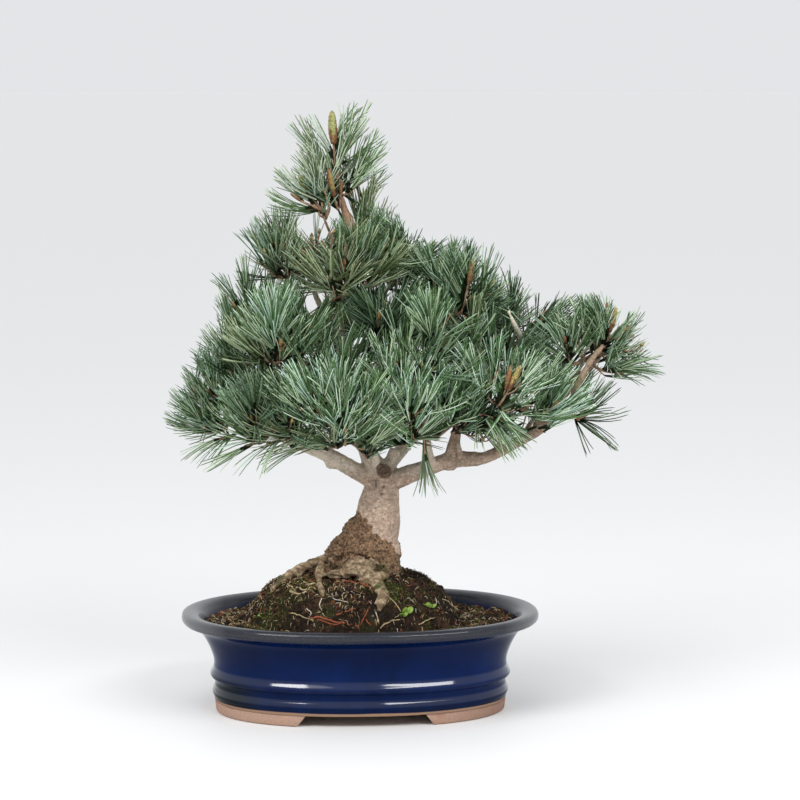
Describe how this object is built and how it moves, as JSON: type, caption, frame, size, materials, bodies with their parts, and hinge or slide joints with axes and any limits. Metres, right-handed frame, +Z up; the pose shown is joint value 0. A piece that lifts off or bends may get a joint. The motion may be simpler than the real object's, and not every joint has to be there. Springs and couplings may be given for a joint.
{
  "type": "japanese white pine bonsai in its pot",
  "caption": "Japanese white pine bonsai: a leaning, flared trunk, spreading boughs and tufts of needles, in soil in a low oval glazed pot on clay feet.",
  "frame": {"origin": "middle of the bounding box in plan, on the surface that the pot's feet stand on", "axes": "+Z up, +X to the right seen from the front, front towards -Y; the pot's long side lies along X"},
  "size_m": [0.4498, 0.2928, 0.5178],
  "materials": {
    "pot_glaze": "gloss",
    "foot_clay": "matte",
    "potting_soil": "matte",
    "bark": "matte",
    "needles": "satin"
  },
  "bodies": {
    "root": {"bough_back": "bark", "bough_back_centre": "bark", "bough_back_left": "bark", "bough_back_low": "bark", "bough_back_right": "bark", "bough_crown_left": "bark", "bough_crown_right": "bark", "bough_front_centre": "bark", "bough_front_right": "bark", "bough_left": "bark", "bough_left_front": "bark", "bough_left_shoulder": "bark", "bough_low_front": "bark", "bough_low_left": "bark", "bough_middle": "bark", "bough_right": "bark", "bough_right_front": "bark", "bough_right_inner": "bark", "bough_right_low": "bark", "bough_right_middle": "bark", "bough_upper_back": "bark", "bough_upper_front": "bark", "bough_upper_left": "bark", "bough_upper_rear": "bark", "bough_upper_right": "bark", "foliage_back_centre": "needles", "foliage_back_left": "needles", "foliage_back_low": "needles", "foliage_back_right": "needles", "foliage_crown_left": "needles", "foliage_crown_right": "needles", "foliage_crown_tip": "needles", "foliage_far_left": "needles", "foliage_far_right": "needles", "foliage_front_centre": "needles", "foliage_front_right": "needles", "foliage_left_front": "needles", "foliage_left_shoulder": "needles", "foliage_low_front": "needles", "foliage_low_left": "needles", "foliage_middle": "needles", "foliage_right_back": "needles", "foliage_right_front": "needles", "foliage_right_inner": "needles", "foliage_right_low": "needles", "foliage_right_middle": "needles", "foliage_upper_back": "needles", "foliage_upper_front": "needles", "foliage_upper_left": "needles", "foliage_upper_rear": "needles", "foliage_upper_right": "needles", "foot_left": "foot_clay", "foot_right": "foot_clay", "pot": "pot_glaze", "root_bar": "bark", "root_front": "bark", "root_knuckle": "bark", "root_left": "bark", "soil": "potting_soil", "trunk": "bark"}
  },
  "joints": []
}
